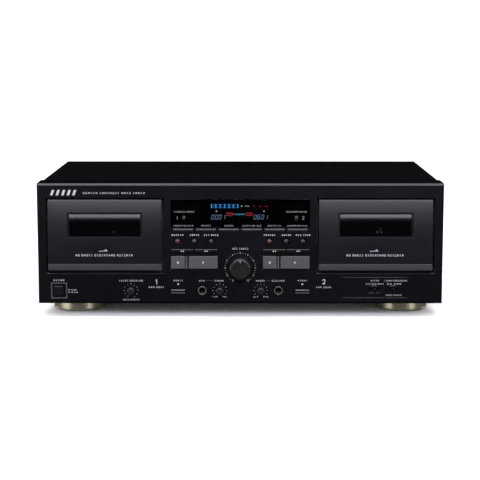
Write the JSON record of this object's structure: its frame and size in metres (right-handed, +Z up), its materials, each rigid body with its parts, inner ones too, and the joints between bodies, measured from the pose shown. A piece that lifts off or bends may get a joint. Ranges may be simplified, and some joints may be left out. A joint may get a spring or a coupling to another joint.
{
  "type": "cassette deck",
  "caption": "Full-width black twin-well cassette deck with tilting cassette doors, a dark display, push keys, knobs and slide switches; it plays and records tapes.",
  "frame": {"origin": "on the shelf under the feet, at the middle of the overall width and depth", "axes": "+X to the user's right along the front, +Y from the front to the back, +Z up"},
  "size_m": [0.435, 0.286, 0.145],
  "materials": {
    "black_plastic": "satin",
    "door_plastic": "satin",
    "smoked_acrylic": "gloss",
    "black_steel": "satin",
    "zinc_steel": "satin",
    "champagne": "satin",
    "key_grey": "satin",
    "knob_black": "satin",
    "record_red": "satin",
    "nickel": "polished",
    "inner_plastic": "matte",
    "brass": "turned",
    "board": "matte",
    "copper": "varnished"
  },
  "bodies": {
    "case": {"front_panel": "black_plastic", "display_window": "smoked_acrylic", "top_cover": "black_steel", "base_chassis": "zinc_steel", "rear_panel": "black_steel", "mains_inlet": "inner_plastic", "line_jack_block": "nickel", "power_transformer": "copper", "main_board": "board", "front_foot_left": "champagne", "front_foot_right": "champagne", "rear_foot_left": "champagne", "rear_foot_right": "champagne", "mechanism_plate_1": "zinc_steel", "mechanism_plate_2": "zinc_steel", "mic_jack": "nickel", "phones_jack": "nickel"},
    "door_1": {"cassette_door_1": "door_plastic", "door_window_1": "smoked_acrylic"},
    "door_2": {"cassette_door_2": "door_plastic", "door_window_2": "smoked_acrylic"},
    "record_level": {"record_level_knob": "knob_black"},
    "head_1": {"head_carriage_1": "zinc_steel"},
    "head_2": {"head_carriage_2": "zinc_steel"},
    "pitch": {"pitch_knob": "knob_black"},
    "mic_level": {"mic_level_knob": "knob_black"},
    "phones_level": {"phones_level_knob": "knob_black"},
    "power": {"power_button": "knob_black"},
    "timer": {"timer_switch": "key_grey"},
    "noise_reduction": {"noise_reduction_switch": "key_grey"},
    "play_1": {"play_key_1": "key_grey"},
    "stop_1": {"stop_key_1": "key_grey"},
    "eject_1": {"eject_key_1": "key_grey"},
    "record_1": {"record_button_1": "record_red"},
    "pause_1": {"pause_button_1": "key_grey"},
    "mute_1": {"mute_button_1": "key_grey"},
    "rewind_1": {"rewind_key_1": "key_grey"},
    "forward_1": {"forward_key_1": "key_grey"},
    "reset_1": {"reset_button_1": "key_grey"},
    "play_2": {"play_key_2": "key_grey"},
    "stop_2": {"stop_key_2": "key_grey"},
    "eject_2": {"eject_key_2": "key_grey"},
    "record_2": {"record_button_2": "record_red"},
    "pause_2": {"pause_button_2": "key_grey"},
    "mute_2": {"mute_button_2": "key_grey"},
    "rewind_2": {"rewind_key_2": "key_grey"},
    "forward_2": {"forward_key_2": "key_grey"},
    "reset_2": {"reset_button_2": "key_grey"},
    "function_1": {"function_key_1": "key_grey"},
    "function_2": {"function_key_2": "key_grey"},
    "function_3": {"function_key_3": "key_grey"},
    "function_4": {"function_key_4": "key_grey"},
    "function_5": {"function_key_5": "key_grey"},
    "function_6": {"function_key_6": "key_grey"},
    "supply_1": {"supply_reel_1": "inner_plastic"},
    "takeup_1": {"takeup_reel_1": "inner_plastic"},
    "capstan_1": {"flywheel_1": "brass"},
    "supply_2": {"supply_reel_2": "inner_plastic"},
    "takeup_2": {"takeup_reel_2": "inner_plastic"},
    "capstan_2": {"flywheel_2": "brass"}
  },
  "joints": [
    {"name": "door_tilt_1", "type": "hinge", "parent": "case", "child": "door_1", "pos_m": [-0.145, -0.1235, 0.051], "axis": [1, 0, 0], "range_deg": [0, 28], "stiffness_Nm_per_rad": 0.25, "springref_deg": -8.59},
    {"name": "door_tilt_2", "type": "hinge", "parent": "case", "child": "door_2", "pos_m": [0.145, -0.1235, 0.051], "axis": [1, 0, 0], "range_deg": [0, 28], "stiffness_Nm_per_rad": 0.25, "springref_deg": -8.59},
    {"name": "record_level_turn", "type": "hinge", "parent": "case", "child": "record_level", "pos_m": [0, -0.13, 0.054], "axis": [0, 1, 0], "range_deg": [-150, 150]},
    {"name": "head_lift_1", "type": "slide", "parent": "case", "child": "head_1", "axis": [0, 0, 1], "range_m": [0, 0.006], "stiffness_N_per_m": 150, "springref_m": -0.003},
    {"name": "head_lift_2", "type": "slide", "parent": "case", "child": "head_2", "axis": [0, 0, 1], "range_m": [0, 0.006], "stiffness_N_per_m": 150, "springref_m": -0.003},
    {"name": "pitch_turn", "type": "hinge", "parent": "case", "child": "pitch", "pos_m": [-0.1177, -0.13, 0.0293], "axis": [0, 1, 0], "range_deg": [-150, 150]},
    {"name": "mic_level_turn", "type": "hinge", "parent": "case", "child": "mic_level", "pos_m": [-0.022, -0.13, 0.0293], "axis": [0, 1, 0], "range_deg": [-150, 150]},
    {"name": "phones_level_turn", "type": "hinge", "parent": "case", "child": "phones_level", "pos_m": [0.022, -0.13, 0.0293], "axis": [0, 1, 0], "range_deg": [-150, 150]},
    {"name": "power_push", "type": "slide", "parent": "case", "child": "power", "axis": [0, 1, 0], "range_m": [0, 0.003], "stiffness_N_per_m": 400, "springref_m": -0.001},
    {"name": "timer_slide", "type": "slide", "parent": "case", "child": "timer", "axis": [1, 0, 0], "range_m": [-0.0035, 0.0035]},
    {"name": "noise_reduction_slide", "type": "slide", "parent": "case", "child": "noise_reduction", "axis": [1, 0, 0], "range_m": [-0.0035, 0.0035]},
    {"name": "play_push_1", "type": "slide", "parent": "case", "child": "play_1", "axis": [0, 1, 0], "range_m": [0, 0.0015], "stiffness_N_per_m": 300, "springref_m": -0.001},
    {"name": "stop_push_1", "type": "slide", "parent": "case", "child": "stop_1", "axis": [0, 1, 0], "range_m": [0, 0.0015], "stiffness_N_per_m": 300, "springref_m": -0.001},
    {"name": "eject_push_1", "type": "slide", "parent": "case", "child": "eject_1", "axis": [0, 1, 0], "range_m": [0, 0.002], "stiffness_N_per_m": 300, "springref_m": -0.001},
    {"name": "record_push_1", "type": "slide", "parent": "case", "child": "record_1", "axis": [0, 1, 0], "range_m": [0, 0.0012], "stiffness_N_per_m": 300, "springref_m": -0.001},
    {"name": "pause_push_1", "type": "slide", "parent": "case", "child": "pause_1", "axis": [0, 1, 0], "range_m": [0, 0.0012], "stiffness_N_per_m": 300, "springref_m": -0.001},
    {"name": "mute_push_1", "type": "slide", "parent": "case", "child": "mute_1", "axis": [0, 1, 0], "range_m": [0, 0.0012], "stiffness_N_per_m": 300, "springref_m": -0.001},
    {"name": "rewind_push_1", "type": "slide", "parent": "case", "child": "rewind_1", "axis": [0, 1, 0], "range_m": [0, 0.0012], "stiffness_N_per_m": 300, "springref_m": -0.001},
    {"name": "forward_push_1", "type": "slide", "parent": "case", "child": "forward_1", "axis": [0, 1, 0], "range_m": [0, 0.0012], "stiffness_N_per_m": 300, "springref_m": -0.001},
    {"name": "reset_push_1", "type": "slide", "parent": "case", "child": "reset_1", "axis": [0, 1, 0], "range_m": [0, 0.001], "stiffness_N_per_m": 300, "springref_m": -0.001},
    {"name": "play_push_2", "type": "slide", "parent": "case", "child": "play_2", "axis": [0, 1, 0], "range_m": [0, 0.0015], "stiffness_N_per_m": 300, "springref_m": -0.001},
    {"name": "stop_push_2", "type": "slide", "parent": "case", "child": "stop_2", "axis": [0, 1, 0], "range_m": [0, 0.0015], "stiffness_N_per_m": 300, "springref_m": -0.001},
    {"name": "eject_push_2", "type": "slide", "parent": "case", "child": "eject_2", "axis": [0, 1, 0], "range_m": [0, 0.002], "stiffness_N_per_m": 300, "springref_m": -0.001},
    {"name": "record_push_2", "type": "slide", "parent": "case", "child": "record_2", "axis": [0, 1, 0], "range_m": [0, 0.0012], "stiffness_N_per_m": 300, "springref_m": -0.001},
    {"name": "pause_push_2", "type": "slide", "parent": "case", "child": "pause_2", "axis": [0, 1, 0], "range_m": [0, 0.0012], "stiffness_N_per_m": 300, "springref_m": -0.001},
    {"name": "mute_push_2", "type": "slide", "parent": "case", "child": "mute_2", "axis": [0, 1, 0], "range_m": [0, 0.0012], "stiffness_N_per_m": 300, "springref_m": -0.001},
    {"name": "rewind_push_2", "type": "slide", "parent": "case", "child": "rewind_2", "axis": [0, 1, 0], "range_m": [0, 0.0012], "stiffness_N_per_m": 300, "springref_m": -0.001},
    {"name": "forward_push_2", "type": "slide", "parent": "case", "child": "forward_2", "axis": [0, 1, 0], "range_m": [0, 0.0012], "stiffness_N_per_m": 300, "springref_m": -0.001},
    {"name": "reset_push_2", "type": "slide", "parent": "case", "child": "reset_2", "axis": [0, 1, 0], "range_m": [0, 0.001], "stiffness_N_per_m": 300, "springref_m": -0.001},
    {"name": "function_push_1", "type": "slide", "parent": "case", "child": "function_1", "axis": [0, 1, 0], "range_m": [0, 0.001], "stiffness_N_per_m": 300, "springref_m": -0.001},
    {"name": "function_push_2", "type": "slide", "parent": "case", "child": "function_2", "axis": [0, 1, 0], "range_m": [0, 0.001], "stiffness_N_per_m": 300, "springref_m": -0.001},
    {"name": "function_push_3", "type": "slide", "parent": "case", "child": "function_3", "axis": [0, 1, 0], "range_m": [0, 0.001], "stiffness_N_per_m": 300, "springref_m": -0.001},
    {"name": "function_push_4", "type": "slide", "parent": "case", "child": "function_4", "axis": [0, 1, 0], "range_m": [0, 0.001], "stiffness_N_per_m": 300, "springref_m": -0.001},
    {"name": "function_push_5", "type": "slide", "parent": "case", "child": "function_5", "axis": [0, 1, 0], "range_m": [0, 0.001], "stiffness_N_per_m": 300, "springref_m": -0.001},
    {"name": "function_push_6", "type": "slide", "parent": "case", "child": "function_6", "axis": [0, 1, 0], "range_m": [0, 0.001], "stiffness_N_per_m": 300, "springref_m": -0.001},
    {"name": "supply_spin_1", "type": "hinge", "parent": "case", "child": "supply_1", "pos_m": [-0.16625, -0.13, 0.0925], "axis": [0, 1, 0], "continuous": true},
    {"name": "takeup_spin_1", "type": "hinge", "parent": "case", "child": "takeup_1", "pos_m": [-0.12375, -0.13, 0.0925], "axis": [0, 1, 0], "continuous": true},
    {"name": "flywheel_spin_1", "type": "hinge", "parent": "case", "child": "capstan_1", "pos_m": [-0.114, -0.13, 0.064], "axis": [0, 1, 0], "continuous": true},
    {"name": "supply_spin_2", "type": "hinge", "parent": "case", "child": "supply_2", "pos_m": [0.12375, -0.13, 0.0925], "axis": [0, 1, 0], "continuous": true},
    {"name": "takeup_spin_2", "type": "hinge", "parent": "case", "child": "takeup_2", "pos_m": [0.16625, -0.13, 0.0925], "axis": [0, 1, 0], "continuous": true},
    {"name": "flywheel_spin_2", "type": "hinge", "parent": "case", "child": "capstan_2", "pos_m": [0.176, -0.13, 0.064], "axis": [0, 1, 0], "continuous": true}
  ]
}
